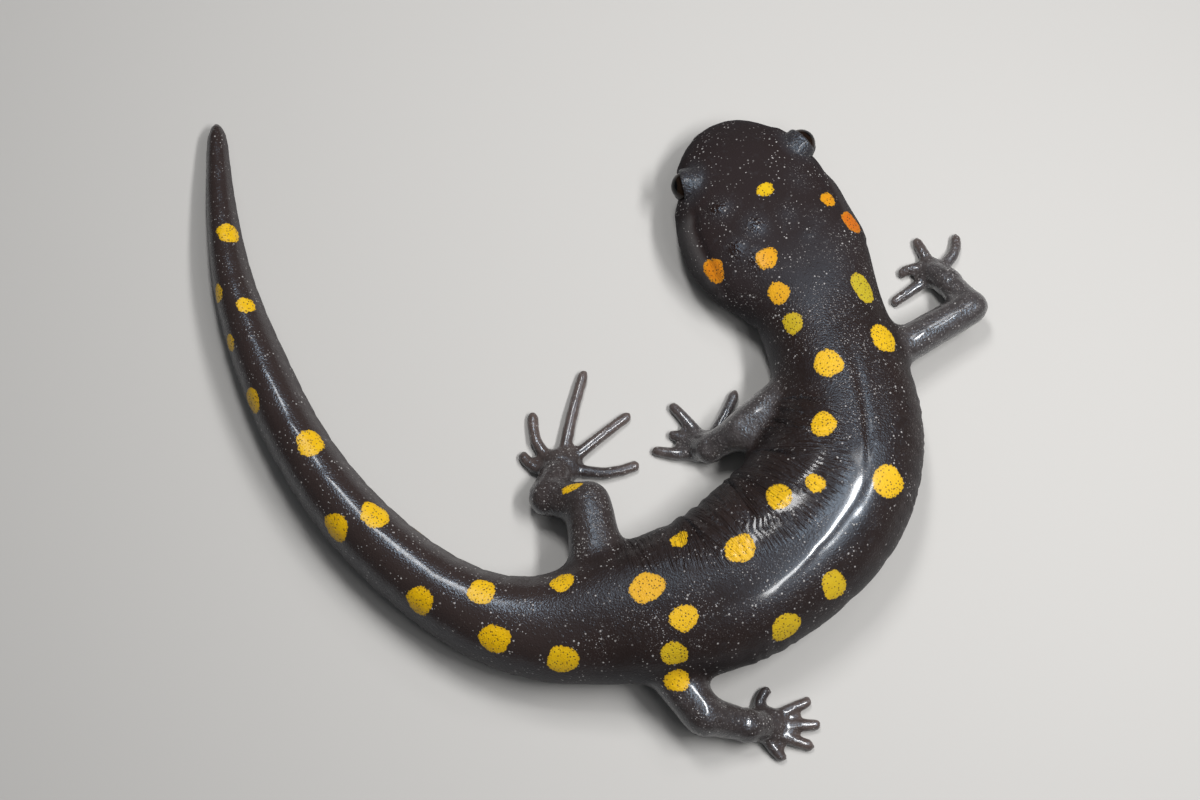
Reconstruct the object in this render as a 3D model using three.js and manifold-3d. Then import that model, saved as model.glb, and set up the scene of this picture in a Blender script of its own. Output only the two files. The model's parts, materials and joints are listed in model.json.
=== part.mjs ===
// A spotted salamander, life size, resting on the floor with its body bent to the left in a wide hook.
// Millimetres, +Z up. The backbone is drawn in plan from snout to tail tip, and every piece of the body is
// a stretch of one loft along it, parted by thin cuts. A leg is a length of flesh along each of its bones,
// with a hand or foot at its end.
// "Left" and "right" are the animal's own. The group is moved at the end, so that the origin lies under the
// middle of the whole animal, at floor level.
import * as THREE from "three";
import { mergeVertices } from "three/addons/utils/BufferGeometryUtils.js";
import Module from "manifold-3d";

const wasm = await Module();
wasm.setup();

// ---- Driving dimensions ----
const GAP = 0.3; // between two pieces that touch
const AROUND_BODY = 20; // points round the body
const AROUND_LEG = 10;
const AROUND_TOE = 6;
const AROUND_EYE = 16;
const AROUND_BROW = 14;
const AROUND_PALM = 12;
const TOE_RINGS = 6;
const RINGS = { step: 3.1, first: 0.35, widening: 0.28, closing: 0.5, least: 0.25 }; // their spacing
const END_TRIM = 0.05; // where the first and last ring lie, just inside the ends
const NOSE_ROUND = 6.5; // length over which the snout rounds off
const TAIL_ROUND = 3; // and the tail's tip
const WAIST = 0.43; // level of the widest place, as a share of the height
const BELLY_PRESS = 0.1; // share of the height that the floor presses flat
// How boxy the body's section is, where low is boxy, and over which distances it turns into the tail's.
const SECTION = { trunk: 0.86, tail: 1.04, from: 90, to: 150 };
const PIECE_ENDS = {
  head: 24,
  neck: 34,
  trunk_front: 47,
  trunk_middle: 62,
  trunk_rear: 79,
  pelvis: 96,
  tail_root: 115,
  tail_front: 136,
  tail_rear: 158,
};
const MOUTH = { end: 12.5, level: 3.5, slope: 0.05 }; // the corner's distance and height, and the rise ahead
const JAW_ROOM = { width: 60, length: 40, depth: 20 }; // wider than the head all round
const EYE = { up: 6.9, radius: 2.0 };
const BROW = { behind: 0.15, inwards: 0.5, higher: 0.1, radius: 2.5 }; // the swelling that holds the eye
// The head is turned a little, so the right eye lies further ahead and further out than the left.
const EYES = {
  left: { at: 8.05, across: -7.6 },
  right: { at: 7.3, across: 8.6 },
};
const TOE_RADIUS = 0.68;
const TOE_TAPER = { root: 1.2, tip: 0.95 }; // shares of that radius
const TOE_HEIGHTS = [0.95, 0.8, 0.5]; // of its middle line at the root, the knuckle and the tip
const TOE_TRIM = 0.03; // how far inside a toe's end its first ring lies
const SHIN = 0.94; // a lower limb's top radius, as a share of the joint's
const UNDER_FLOOR = { size: 200, depth: 20 }; // what a foot is cut off by
const CAP_STEPS = 4; // steps in the round end of a limb

// Where the backbone passes in plan, and the body's width, height, height off the floor, and how far the
// back leans to the animal's right.
const STATIONS = [
  // x, y, width, height, lift, lean
  [16.1, 39.1, 13.4, 5.4, 2.0, 0], // snout
  [18.2, 32.6, 17.2, 8.2, 1.5, 0], // eyes
  [20.3, 26.7, 22.2, 9.4, 0.9, 0], // corner of the jaw
  [22.3, 22.6, 23.2, 9.9, 0.5, 0], // cheeks
  [25.9, 18.0, 20.8, 10.4, 0.2, 0.2], // throat
  [28.4, 12.6, 16.8, 10.6, 0, 0.4], // neck
  [30.5, 5.0, 17.4, 12.2, 0, 0.7], // shoulders
  [31.5, -3.0, 19.4, 13.8, 0, 1.0], // chest
  [30.0, -9.4, 21.2, 14.9, 0, 1.2],
  [26.4, -15.4, 22.0, 15.4, 0, 1.2], // belly
  [16.9, -23.4, 21.2, 14.8, 0, 0.8], // flank
  [9.2, -26.4, 19.4, 13.6, 0, 0.4],
  [1.0, -28.0, 17.0, 12.4, 0, 0.2], // hips
  [-6.2, -29.2, 13.8, 11.4, 0, 0],
  [-13.4, -28.0, 11.4, 10.8, 0, 0], // root of the tail
  [-21.6, -23.6, 9.6, 10.2, 0, 0],
  [-31.0, -15.4, 8.6, 9.6, 0, 0],
  [-38.4, -5.6, 7.7, 8.8, 0, 0],
  [-44.0, 5.4, 7.0, 8.0, 0, 0],
  [-48.2, 16.4, 5.6, 6.6, 0, 0],
  [-50.6, 27.6, 4.1, 4.9, 0, 0],
  [-52.1, 40.6, 2.4, 2.9, 0, 0], // tip
];

// Each leg from its root in the body to the foot: the points of its bones, and the flesh's radius at each.
const LEGS = {
  front_left: {
    bones: [[24.9, 1.4, 6.4], [17.9, -4.0, 5.3], [14.0, -5.5, 2.6], [12.9, -4.9, 1.5]],
    radii: [2.9, 2.6, 2.0, 1.5],
    palm: { at: [12.9, -4.8, 1.1], size: [2.1, 2.2, 1.3] },
    toes: [
      [[13.4, -4.0], [10.8, -0.8], [9.2, 1.0]],
      [[13.0, -5.0], [10.9, -3.7], [8.9, -3.0]],
      [[13.2, -6.0], [9.7, -5.8], [6.8, -5.2]],
      [[14.2, -4.2], [16.3, -0.7], [17.8, 2.8]],
    ],
  },
  front_right: {
    bones: [[37.6, 6.4, 5.6], [48.4, 13.0, 4.6], [45.8, 17.3, 2.5], [44.4, 18.8, 1.5]],
    radii: [2.6, 2.3, 1.9, 1.5],
    palm: { at: [44.4, 18.9, 1.1], size: [2.2, 2.1, 1.3] },
    toes: [
      [[43.8, 18.4], [40.6, 16.1], [38.6, 14.8]],
      [[44.0, 19.2], [41.4, 19.7], [39.8, 18.8]],
      [[44.2, 19.6], [43.0, 22.2], [42.2, 24.0]],
      [[45.2, 19.4], [47.4, 22.1], [47.6, 24.6]],
    ],
  },
  hind_left: {
    bones: [[0.0, -23.0, 6.2], [-1.5, -13.6, 5.6], [-6.6, -12.0, 3.0], [-5.6, -8.8, 1.7]],
    radii: [3.8, 3.1, 2.5, 1.9],
    palm: { at: [-5.0, -7.6, 1.2], size: [2.5, 2.6, 1.4] },
    toes: [
      [[-4.2, -7.8], [1.0, -8.4], [5.2, -7.1]],
      [[-4.4, -7.2], [0.0, -3.5], [4.0, -0.3]],
      [[-4.9, -6.8], [-3.5, 0.1], [-2.0, 5.7]],
      [[-6.0, -7.4], [-8.4, -3.9], [-8.8, -0.1]],
      [[-6.2, -8.4], [-9.0, -7.3], [-10.2, -5.6]],
    ],
  },
  hind_right: {
    bones: [[6.0, -31.6, 5.6], [12.8, -40.0, 5.0], [18.4, -41.0, 2.6], [20.0, -40.9, 1.7]],
    radii: [3.1, 2.8, 2.2, 1.8],
    palm: { at: [20.6, -40.7, 1.2], size: [2.4, 2.3, 1.4] },
    toes: [
      [[20.0, -40.0], [20.0, -37.6], [21.2, -36.0]],
      [[20.8, -40.2], [23.8, -38.8], [26.5, -37.6]],
      [[21.0, -40.8], [24.6, -40.8], [27.6, -40.6]],
      [[20.8, -41.4], [24.0, -42.6], [26.6, -43.4]],
      [[20.4, -41.8], [21.8, -43.9], [23.0, -45.0]],
    ],
  },
};

const materials = {
  skin: new THREE.MeshStandardMaterial({ color: 0x1b1a1c, roughness: 0.3, metalness: 0 }),
  limb: new THREE.MeshStandardMaterial({ color: 0x2b2a2c, roughness: 0.35, metalness: 0 }),
  eye: new THREE.MeshStandardMaterial({ color: 0x050506, roughness: 0.08, metalness: 0 }),
};

// ---- Solids ----
function solidOf(geometry) {
  geometry.deleteAttribute("normal");
  geometry.deleteAttribute("uv");
  const merged = mergeVertices(geometry, 1e-4);
  return new wasm.Manifold(
    new wasm.Mesh({
      numProp: 3,
      vertProperties: merged.attributes.position.array,
      triVerts: new Uint32Array(merged.index.array),
    }),
  );
}

// The closed surface over rings of points that all run the same way round, with a fan over each end.
function loft(rings) {
  const around = rings[0].length;
  const points = rings.flat();
  const index = [];
  for (let i = 0; i + 1 < rings.length; i++)
    for (let j = 0; j < around; j++) {
      const a = i * around + j;
      const b = i * around + ((j + 1) % around);
      index.push(a, b, b + around, a, b + around, a + around);
    }
  for (const [ring, first, flip] of [[rings[0], 0, true], [rings.at(-1), points.length - around, false]]) {
    const middle = points.length;
    points.push(ring.reduce((sum, p) => sum.add(p), new THREE.Vector3()).divideScalar(around));
    for (let j = 0; j < around; j++) {
      const a = first + j;
      const b = first + ((j + 1) % around);
      index.push(...(flip ? [middle, b, a] : [middle, a, b]));
    }
  }
  return solidOf(new THREE.BufferGeometry().setFromPoints(points).setIndex(index));
}

function ball(at, radius, around, stretch = [1, 1, 1]) {
  const sphere = new THREE.SphereGeometry(radius, around, around / 2);
  return solidOf(sphere.rotateX(Math.PI / 2).scale(...stretch).translate(...at));
}

// A cut can leave crumbs beside the piece, and only the piece is kept.
function largest(solid) {
  return solid.decompose().reduce((most, one) => (one.volume() > most.volume() ? one : most));
}

// ---- The body along its backbone ----
const spine = new THREE.CatmullRomCurve3(
  STATIONS.map(([x, y]) => new THREE.Vector3(x, y, 0)),
  false,
  "centripetal",
);
const sizes = new THREE.CatmullRomCurve3(
  STATIONS.map(([, , width, height, lift]) => new THREE.Vector3(width, height, lift)),
  false,
  "catmullrom",
  0.5,
);
const leans = new THREE.CatmullRomCurve3(STATIONS.map((row) => new THREE.Vector3(row[5], 0, 0)), false);
spine.arcLengthDivisions = 1200;
const LENGTH = spine.getLength();

// The body at a distance from the snout: the backbone's place, the way to the right, and its sizes.
function bodyAt(distance) {
  const t = spine.getUtoTmapping(THREE.MathUtils.clamp(distance / LENGTH, 0, 1));
  const ahead = spine.getTangent(t).negate();
  const size = sizes.getPoint(t);
  return {
    at: spine.getPoint(t),
    right: new THREE.Vector3(ahead.y, -ahead.x, 0),
    width: size.x,
    height: size.y,
    lift: Math.max(size.z, 0),
    lean: leans.getPoint(t).x,
    boxy: THREE.MathUtils.lerp(
      SECTION.trunk,
      SECTION.tail,
      THREE.MathUtils.smoothstep(distance, SECTION.from, SECTION.to),
    ),
  };
}

// 1 along the body, falling to 0 in a quarter circle at the snout and at the tail's tip.
function endRound(distance) {
  const quarter = (reach, room) => Math.sqrt(1 - (1 - Math.min(reach / room, 1)) ** 2);
  return quarter(distance, NOSE_ROUND) * quarter(LENGTH - distance, TAIL_ROUND);
}

function signedPower(value, power) {
  return Math.sign(value) * Math.abs(value) ** power;
}

// One ring of the body, grown outwards by a margin.
function bodyRing(distance, grow = 0) {
  const { at, right, width, height, lift, lean, boxy } = bodyAt(distance);
  const round = endRound(distance);
  const middle = lift + WAIST * height;
  const floor = middle - (middle - lift) * round - grow;
  const ring = [];
  for (let i = 0; i < AROUND_BODY; i++) {
    const angle = (i / AROUND_BODY) * 2 * Math.PI;
    const across = signedPower(Math.cos(angle), boxy) * ((width / 2) * round + grow);
    const up = Math.sin(angle);
    const reach = up > 0 ? (1 - WAIST) * height : (WAIST + BELLY_PRESS) * height;
    const z = Math.max(middle + up * (reach * round + grow), floor);
    const leaning = lean * Math.max(0, (z - middle) / height) * round;
    ring.push(at.clone().addScaledVector(right, across + leaning).setZ(z));
  }
  return ring;
}

// Distances of the rings from one cut to the next, closer together where the snout rounds off.
function ringPlaces(from, to) {
  const places = [from];
  let step = 0;
  for (let d = from; d < to; d += step) {
    const atTail = RINGS.first + RINGS.closing * Math.max(LENGTH - d, 0);
    step = Math.min(RINGS.step, RINGS.first + RINGS.widening * d, atTail);
    places.push(Math.min(d + step, to));
  }
  const last = places.length - 1;
  if (last > 1 && places[last] - places[last - 1] < RINGS.least) places.splice(last - 1, 1);
  return places;
}

function bodyPiece(from, to, grow = 0) {
  return loft(ringPlaces(from, to).map((d) => bodyRing(d, grow)));
}

// The room that the lower jaw has below the closed mouth, ahead of the corner of the jaw.
function jawRoom(grow) {
  const { at, right } = bodyAt(MOUTH.end);
  const { width, length, depth } = JAW_ROOM;
  const room = new THREE.BoxGeometry(width, length, depth);
  room.translate(0, length / 2 - grow, grow - depth / 2).rotateX(MOUTH.slope);
  return solidOf(room.rotateZ(Math.atan2(right.y, right.x)).translate(at.x, at.y, MOUTH.level));
}

function headPlace(at, across, up) {
  const { at: middle, right } = bodyAt(at);
  return middle.clone().addScaledVector(right, across).setZ(up).toArray();
}

function eyeBall({ at, across }, radius) {
  return ball(headPlace(at, across, EYE.up), radius, AROUND_EYE);
}

function brow({ at, across }) {
  const inner = across - Math.sign(across) * BROW.inwards;
  return ball(headPlace(at + BROW.behind, inner, EYE.up + BROW.higher), BROW.radius, AROUND_BROW);
}

function makeHead() {
  let head = bodyPiece(END_TRIM, PIECE_ENDS.head - GAP / 2);
  const jaw = head.intersect(jawRoom(-GAP / 2));
  head = head.subtract(jawRoom(GAP / 2));
  for (const eye of Object.values(EYES)) head = head.add(brow(eye)).subtract(eyeBall(eye, EYE.radius + GAP));
  return { head: largest(head), jaw };
}

// ---- The legs ----
// A length of flesh from one joint to the next, with a round end at each, grown outwards by a margin.
function limb(from, to, radiusFrom, radiusTo, grow = 0) {
  const start = new THREE.Vector3(...from);
  const along = new THREE.Vector3(...to).sub(start);
  const profile = [];
  const caps = [
    [radiusFrom + grow, 0, -CAP_STEPS],
    [radiusTo + grow, along.length(), 0],
  ];
  for (const [radius, end, first] of caps)
    for (let i = first; i <= first + CAP_STEPS; i++) {
      const angle = (i / CAP_STEPS) * (Math.PI / 2);
      const out = Math.abs(i) === CAP_STEPS ? 0 : Math.cos(angle) * radius;
      profile.push(new THREE.Vector2(out, end + Math.sin(angle) * radius));
    }
  const turn = new THREE.Quaternion().setFromUnitVectors(new THREE.Vector3(0, 1, 0), along.normalize());
  return solidOf(new THREE.LatheGeometry(profile, AROUND_LEG).applyQuaternion(turn).translate(...from));
}

// A toe, bent at its knuckle, with a round root and a round tip, held above the floor.
function makeToe(plan, grow) {
  const points = plan.map(([x, y], i) => new THREE.Vector3(x, y, TOE_HEIGHTS[i]));
  const curve = new THREE.CatmullRomCurve3(points, false, "centripetal");
  const length = curve.getLength();
  const rings = [];
  for (let i = 0; i <= TOE_RINGS; i++) {
    const share = (1 - Math.cos((i / TOE_RINGS) * Math.PI)) / 2;
    const at = curve.getPointAt(share);
    const tangent = curve.getTangentAt(share);
    const side = new THREE.Vector3(-tangent.y, tangent.x, 0).normalize();
    const upwards = tangent.clone().cross(side).normalize();
    const nearEnd = Math.min(share, 1 - share) * length + TOE_TRIM;
    const full = TOE_RADIUS * THREE.MathUtils.lerp(TOE_TAPER.root, TOE_TAPER.tip, share);
    const radius = full * Math.sqrt(1 - (1 - Math.min(nearEnd / full, 1)) ** 2) + grow;
    const ring = [];
    for (let j = 0; j < AROUND_TOE; j++) {
      const angle = (j / AROUND_TOE) * 2 * Math.PI;
      const point = at.clone().addScaledVector(side, Math.cos(angle) * radius);
      point.addScaledVector(upwards, Math.sin(angle) * radius);
      ring.push(point.setZ(Math.max(point.z, -grow)));
    }
    rings.push(ring);
  }
  return loft(rings);
}

// A hand or foot as one solid: the wrist or ankle, the palm's pad and the toes, cut off level at the floor.
function makeFoot({ bones, radii, palm, toes }, grow = 0) {
  let foot = limb(bones[2], bones[3], radii[2], radii[3], grow);
  foot = foot.add(ball(palm.at, 1, AROUND_PALM, palm.size.map((size) => size + grow)));
  for (const toe of toes) foot = foot.add(makeToe(toe, grow));
  const { size, depth } = UNDER_FLOOR;
  const under = new THREE.BoxGeometry(size, size, depth).translate(0, 0, -depth / 2 - grow);
  return foot.subtract(solidOf(under));
}

function makeLeg(leg) {
  const { bones, radii } = leg;
  const trunk = bodyPiece(PIECE_ENDS.head - GAP, PIECE_ENDS.tail_root + GAP, GAP);
  const upper = limb(bones[0], bones[1], radii[0], radii[1]).subtract(trunk);
  const bigUpper = limb(bones[0], bones[1], radii[0], radii[1], GAP);
  const lower = limb(bones[1], bones[2], radii[1] * SHIN, radii[2]).subtract(trunk);
  const bigFoot = makeFoot(leg, GAP);
  return {
    upper: largest(upper.subtract(bigFoot)),
    lower: largest(lower.subtract(bigUpper).subtract(bigFoot)),
    foot: largest(makeFoot(leg).subtract(trunk)),
  };
}

// ---- Assembly ----
const group = new THREE.Group();

function addPiece(name, solid, material) {
  const mesh = solid.getMesh();
  const geometry = new THREE.BufferGeometry();
  geometry.setAttribute("position", new THREE.BufferAttribute(mesh.vertProperties, 3));
  geometry.setIndex(new THREE.BufferAttribute(mesh.triVerts, 1));
  geometry.computeVertexNormals();
  const piece = new THREE.Mesh(geometry, material);
  piece.name = name;
  group.add(piece);
}

const { head, jaw } = makeHead();
addPiece("head", head, materials.skin);
addPiece("lower_jaw", jaw, materials.skin);
for (const [side, eye] of Object.entries(EYES))
  addPiece(`eye_${side}`, eyeBall(eye, EYE.radius), materials.eye);

const cuts = Object.entries({ ...PIECE_ENDS, tail_tip: LENGTH - END_TRIM + GAP / 2 });
for (let i = 1; i < cuts.length; i++) {
  const [name, end] = cuts[i];
  addPiece(name, bodyPiece(cuts[i - 1][1] + GAP / 2, end - GAP / 2), materials.skin);
}

const LEG_PIECES = {
  front: { upper: "upper_arm", lower: "forearm", foot: "hand" },
  hind: { upper: "thigh", lower: "shank", foot: "foot" },
};
for (const [place, leg] of Object.entries(LEGS)) {
  const [end, side] = place.split("_");
  const pieces = makeLeg(leg);
  for (const [part, name] of Object.entries(LEG_PIECES[end]))
    addPiece(`${name}_${side}`, pieces[part], materials.limb);
}

const bounds = new THREE.Box3().setFromObject(group, true);
const middle = bounds.getCenter(new THREE.Vector3());
group.position.set(-middle.x, -middle.y, -bounds.min.z);

export default group;
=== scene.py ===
# %% [markdown]
# # A spotted salamander
#
# A stout, glossy, near-black amphibian lying in a wide hook, with two rows of round yellow spots down its
# back. The solids that this lesson starts from are simple lengths of body, leg and foot with thin cuts
# between them. They give the size, the pose and the places of everything. This lesson grows one unbroken
# skin over them, works the folds and the face into it, and gives it a wet, grainy, spotted hide.
#
# Lengths in the code are millimetres unless a name says otherwise, and become metres when a mesh is written.

# %% Load the solids
import json
import math

import bmesh
import bpy
import numpy as np
from mathutils import Matrix, Vector
from mathutils.bvhtree import BVHTree

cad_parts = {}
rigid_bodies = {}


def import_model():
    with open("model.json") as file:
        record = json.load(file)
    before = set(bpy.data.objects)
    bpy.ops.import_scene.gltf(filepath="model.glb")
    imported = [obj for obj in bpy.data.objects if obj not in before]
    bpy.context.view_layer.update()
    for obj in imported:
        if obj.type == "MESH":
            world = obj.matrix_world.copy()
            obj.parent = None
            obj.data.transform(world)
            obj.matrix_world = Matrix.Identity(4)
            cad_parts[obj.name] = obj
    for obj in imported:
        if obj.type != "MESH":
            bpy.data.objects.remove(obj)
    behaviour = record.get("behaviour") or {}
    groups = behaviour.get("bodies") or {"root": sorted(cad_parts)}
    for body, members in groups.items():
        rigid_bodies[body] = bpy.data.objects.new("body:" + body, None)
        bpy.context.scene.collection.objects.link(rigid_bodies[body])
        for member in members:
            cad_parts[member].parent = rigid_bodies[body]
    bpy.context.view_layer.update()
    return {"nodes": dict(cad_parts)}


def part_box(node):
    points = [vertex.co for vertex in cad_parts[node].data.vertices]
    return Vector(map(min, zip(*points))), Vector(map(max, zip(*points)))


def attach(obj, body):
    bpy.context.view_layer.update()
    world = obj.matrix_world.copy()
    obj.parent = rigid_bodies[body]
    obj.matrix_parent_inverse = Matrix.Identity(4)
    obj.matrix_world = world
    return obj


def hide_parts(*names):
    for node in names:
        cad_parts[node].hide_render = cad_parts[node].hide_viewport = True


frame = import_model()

MM = 0.001

# %% [markdown]
# ## The camera
#
# The animal is seen from steeply above. A camera on an orbit needs three facts: how high it stands above
# the horizon, how far away it is, and the point it looks at. Aiming it with a track quaternion keeps those
# three facts in view, where typed angles would hide them.

# %% Place the camera
CAMERA_HEIGHT = math.radians(74)
CAMERA_REACH = 256
AIM = Vector((1.257, 2.334, 6.0))


def aimed(kind, name, place_mm, target_mm):
    """A new camera or lamp, standing at one point and looking at another."""
    data = bpy.data.cameras.new(name) if kind == "CAMERA" else bpy.data.lights.new(name, kind)
    made = bpy.data.objects.new(name, data)
    bpy.context.scene.collection.objects.link(made)
    made.location = Vector(place_mm) * MM
    made.rotation_euler = (Vector(target_mm) - Vector(place_mm)).to_track_quat("-Z", "Y").to_euler()
    return made


back_off = Vector((0, -math.cos(CAMERA_HEIGHT), math.sin(CAMERA_HEIGHT)))
camera = aimed("CAMERA", "camera", AIM + back_off * CAMERA_REACH, AIM)
camera.data.lens = 60
camera.data.sensor_width = 36
camera.data.clip_start = 0.01
bpy.context.scene.camera = camera
print("camera at", [round(v / MM) for v in camera.location])

# %% [markdown]
# ## The line of the backbone
#
# Almost everything on this animal is placed along its body: grooves, spots and folds all say how far they
# are from the snout and how far round from the top of the back. The curve could be typed in, but then it
# could drift from the solids. Here it is found in them: a rough line through the middles of the lengths is
# pushed sideways, a few times over, until it runs midway between the two flanks everywhere.

# %% Read the corners of a solid
LENGTHS = ["head", "neck", "trunk_front", "trunk_middle", "trunk_rear", "pelvis"]
LENGTHS += ["tail_root", "tail_front", "tail_rear", "tail_tip"]


def corners_of(name):
    data = frame["nodes"][name].data
    flat = np.empty(len(data.vertices) * 3)
    data.vertices.foreach_get("co", flat)
    return flat.reshape(-1, 3) / MM


flesh = np.vstack([corners_of(name) for name in LENGTHS])
print(len(flesh), "corners in the lengths of the body")

# %% Ways to ease, step and slice a line
SLAB = 1.7
WIDEST_HALF = 14


def relaxed(line, passes):
    """The line with its kinks eased out, its two ends kept."""
    line = line.copy()
    for _ in range(passes):
        line[1:-1] = (line[:-2] + 2 * line[1:-1] + line[2:]) / 4
    return line


def every_millimetre(line):
    gone = np.concatenate([[0], np.cumsum(np.linalg.norm(np.diff(line, axis=0), axis=1))])
    at = np.linspace(0, gone[-1], round(gone[-1]) + 1)
    return np.column_stack([np.interp(at, gone, line[:, k]) for k in range(2)])


def ways(line):
    """The way ahead, towards the snout, and the way to the animal's right, at each point of the line."""
    ahead = -np.gradient(line, axis=0)
    ahead /= np.linalg.norm(ahead, axis=1, keepdims=True)
    return ahead, np.column_stack([ahead[:, 1], -ahead[:, 0]])


def slab(line, ahead, right, i):
    """The corners in a thin slice across the body, as offsets to the right and heights."""
    off = flesh[:, :2] - line[i]
    across = off @ right[i]
    near = (np.abs(off @ ahead[i]) < SLAB) & (np.abs(across) < WIDEST_HALF)
    return across[near], flesh[near, 2]


print("a slice is", 2 * SLAB, "mm thick")

# %% Find the middle line
def furthest(name, other):
    """The corner of one solid that lies furthest from the middle of another, in plan."""
    points = corners_of(name)[:, :2]
    return points[np.argmax(np.linalg.norm(points - corners_of(other)[:, :2].mean(axis=0), axis=1))]


line = [furthest("head", "trunk_front")]
line += [corners_of(name)[:, :2].mean(axis=0) for name in LENGTHS]
line += [furthest("tail_tip", "tail_front")]
line = relaxed(every_millimetre(np.array(line)), 12)
for _ in range(5):
    ahead, right = ways(line)
    shift = np.zeros(len(line))
    for i in range(4, len(line) - 3):
        across, _ = slab(line, ahead, right, i)
        shift[i] = (across.max() + across.min()) / 2
    line = every_millimetre(relaxed(line + right * shift[:, None], 6))
ahead, right = ways(line)
print("the backbone is", len(line) - 1, "mm long")

# %% Measure the body along it
CORE_SHARE = 0.43
RIDGE_DEEP = 0.25
tallest, lowest, ridge, half_width = np.zeros((4, len(line)))
for i in range(len(line)):
    across, up = slab(line, ahead, right, i)
    tallest[i], lowest[i] = up.max(), up.min()
    ridge[i] = across[up > up.max() - RIDGE_DEEP].mean()
    half_width[i] = (across.max() - across.min()) / 2
ridge = relaxed(ridge[:, None], 20)[:, 0]
core = relaxed((lowest + CORE_SHARE * (tallest - lowest))[:, None], 8)[:, 0]
for at in range(0, len(line), 20):
    print(at, "mm along: half width", round(half_width[at], 1), "top", round(tallest[at], 1))

# %% Say where a point lies on the body
def read_at(values, at):
    """Values kept one to a millimetre of a path, read at any distance along it."""
    columns = values.reshape(len(values), -1).T
    return np.column_stack([np.interp(at, np.arange(len(values)), column) for column in columns])


def follow(path, points):
    """How far along a path each point lies, and how far to the right of it."""
    ahead, right = ways(path)
    gone = np.empty(len(points))
    for start in range(0, len(points), 4000):
        off = points[start : start + 4000, None, :2] - path[None]
        gone[start : start + 4000] = np.argmin((off**2).sum(axis=2), axis=1)
    for _ in range(7):
        held = np.clip(gone, 0, len(path) - 1)
        off = points[:, :2] - read_at(path, held)
        gone = held - (off * read_at(ahead, held)).sum(axis=1)
    return gone, (off * read_at(right, held)).sum(axis=1)


def on_body(points):
    """For each point: how far from the snout, how far to the right, and the angle round from the back."""
    gone, across = follow(line, points)
    held = np.clip(gone, 0, len(line) - 1)
    off_ridge = across - 0.5 * read_at(ridge, held)[:, 0]
    return gone, across, np.degrees(np.arctan2(off_ridge, points[:, 2] - read_at(core, held)[:, 0]))


print("the snout lies", round(float(on_body(flesh)[0].min()), 1), "mm along")

# %% The line of the spine
SPINE = [(0, 0.6), (30, 1.5), (43, 1.1), (48, 3.4), (52, 4.1), (55, 4.9), (58, 5.3), (65, 5.2), (84, 3.2)]
SPINE += [(104, 1.0), (130, 0)]
spine_line = np.interp(np.arange(len(line)), *zip(*SPINE))
spine_path = every_millimetre(relaxed(line + right * spine_line[:, None], 16))
print("the spine groove wanders up to", max(SPINE, key=lambda knot: knot[1])[1], "mm off the middle")

# %% [markdown]
# ## One skin
#
# The real animal has no seams, so no seam may show where the solids were cut. Each solid is copied, its
# loose triangles are merged, and the copy is swollen by a fifth of a millimetre, which is more than half
# of a cut. The swollen copies overlap, and a voxel remesh turns the heap into one closed surface. The eyes
# go in as well, a little larger than they are, because skin covers most of an eyeball.
# A boolean union would also join them, but it keeps the long thin triangles, which can't be sculpted.

# %% Heap the swollen copies
SWELL = 0.22
LID = 0.3
SHARPEST = 1.5
FLESH_NODES = [name for name in frame["nodes"] if not name.startswith("eye")]
EYE_NODES = ["eye_left", "eye_right"]


def merged_copy(name):
    shape = bmesh.new()
    shape.from_mesh(frame["nodes"][name].data)
    bmesh.ops.remove_doubles(shape, verts=shape.verts, dist=0.001 * MM)
    bmesh.ops.recalc_face_normals(shape, faces=shape.faces)
    shape.normal_update()
    return shape


heap = bmesh.new()
parts_of_face = []
for name in FLESH_NODES + EYE_NODES:
    shape = merged_copy(name)
    swell = SWELL + (LID if name in EYE_NODES else 0)
    moves = [v.normal * swell * MM * min(v.calc_shell_factor(), SHARPEST) for v in shape.verts]
    for v, move in zip(shape.verts, moves):
        v.co += move
    parts_of_face += [name] * len(shape.faces)
    holder = bpy.data.meshes.new(name + "_swollen")
    shape.to_mesh(holder)
    shape.free()
    heap.from_mesh(holder)
print(len(heap.faces), "triangles in the heap of copies")

# %% Melt the heap together
VOXEL = 0.52
skin_mesh = bpy.data.meshes.new("skin")
heap.to_mesh(skin_mesh)
heap.free()
skin = bpy.data.objects.new("skin", skin_mesh)
bpy.context.scene.collection.objects.link(skin)
melt = skin.modifiers.new("melt", "REMESH")
melt.mode = "VOXEL"
melt.voxel_size = VOXEL * MM
melted = bpy.data.meshes.new_from_object(skin.evaluated_get(bpy.context.evaluated_depsgraph_get()))
skin.modifiers.clear()

heap_tree = BVHTree.FromPolygons(
    [v.co / MM for v in skin_mesh.vertices], [tuple(f.vertices) for f in skin_mesh.polygons]
)
skin.data = melted
print(len(melted.polygons), "faces after melting")

# %% [markdown]
# ## Ease out the facets
#
# The melted surface still shows the flat facets of the solids. Averaging each point with its neighbours
# rounds them off, but it also shrinks what is thin, so thin parts get far fewer passes. What the passes
# took away from the broad shape is added back: a second, equal run of passes shows how much a run takes.

# %% Arrays of the mesh, and a way to smooth them
def points_of(mesh):
    flat = np.empty(len(mesh.vertices) * 3)
    mesh.vertices.foreach_get("co", flat)
    return flat.reshape(-1, 3) / MM


def normals_of(mesh):
    flat = np.empty(len(mesh.vertices) * 3)
    mesh.vertices.foreach_get("normal", flat)
    return flat.reshape(-1, 3)


def write_points(mesh, points):
    mesh.vertices.foreach_set("co", (points * MM).ravel())
    mesh.update()


def edges_of(mesh):
    flat = np.empty(len(mesh.edges) * 2, int)
    mesh.edges.foreach_get("vertices", flat)
    return flat.reshape(-1, 2)


def neighbour_mean(values, edges, count):
    """The mean over each point's neighbours, for every column of values."""
    a, b = edges.T
    columns = []
    for column in values.T:
        total = np.bincount(a, column[b], len(values)) + np.bincount(b, column[a], len(values))
        columns.append(total / count)
    return np.column_stack(columns)


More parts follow.
